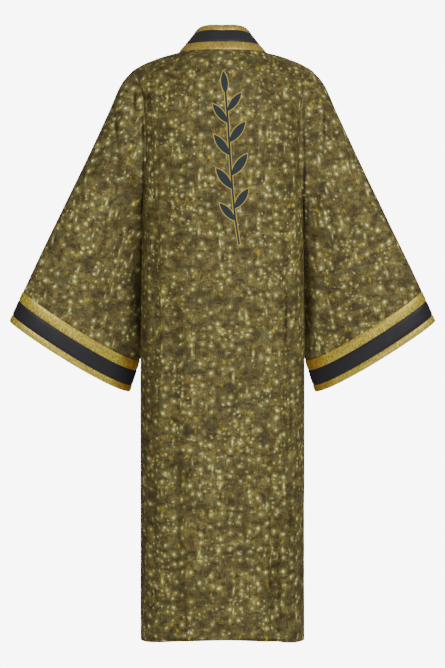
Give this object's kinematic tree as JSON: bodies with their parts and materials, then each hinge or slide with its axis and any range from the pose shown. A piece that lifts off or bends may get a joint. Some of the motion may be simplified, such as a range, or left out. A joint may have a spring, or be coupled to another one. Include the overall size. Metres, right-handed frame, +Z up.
{
  "type": "kimono",
  "caption": "Long open-fronted robe in its worn form with no wearer: wide tapering sleeves, a standing banded collar that runs down both front edges, and banded cuffs.",
  "frame": {"origin": "midway between the two shoulder seams, at the height of the sides of the neck, where the wearer's shoulders carry the robe", "axes": "+Z up, -Y towards the open front, +Y towards the back, +X towards the wearer's left"},
  "size_m": [0.982, 0.2729, 1.4062],
  "materials": {
    "printed_cloth": "smooth woven cloth printed in mottled olive and soft pale dots",
    "gold_cloth": "gold cloth with a soft metallic sheen",
    "black_cloth": "black satin cloth"
  },
  "bodies": {
    "root": {"back": "printed_cloth", "front_left": "printed_cloth", "front_right": "printed_cloth", "sleeve_left": "printed_cloth", "sleeve_right": "printed_cloth", "cuff_gold_inner_left": "gold_cloth", "cuff_gold_inner_right": "gold_cloth", "cuff_gold_outer_left": "gold_cloth", "cuff_gold_outer_right": "gold_cloth", "neck_gold_inner": "gold_cloth", "neck_gold_outer": "gold_cloth", "cuff_black_left": "black_cloth", "cuff_black_right": "black_cloth", "neck_black": "black_cloth"}
  },
  "joints": []
}
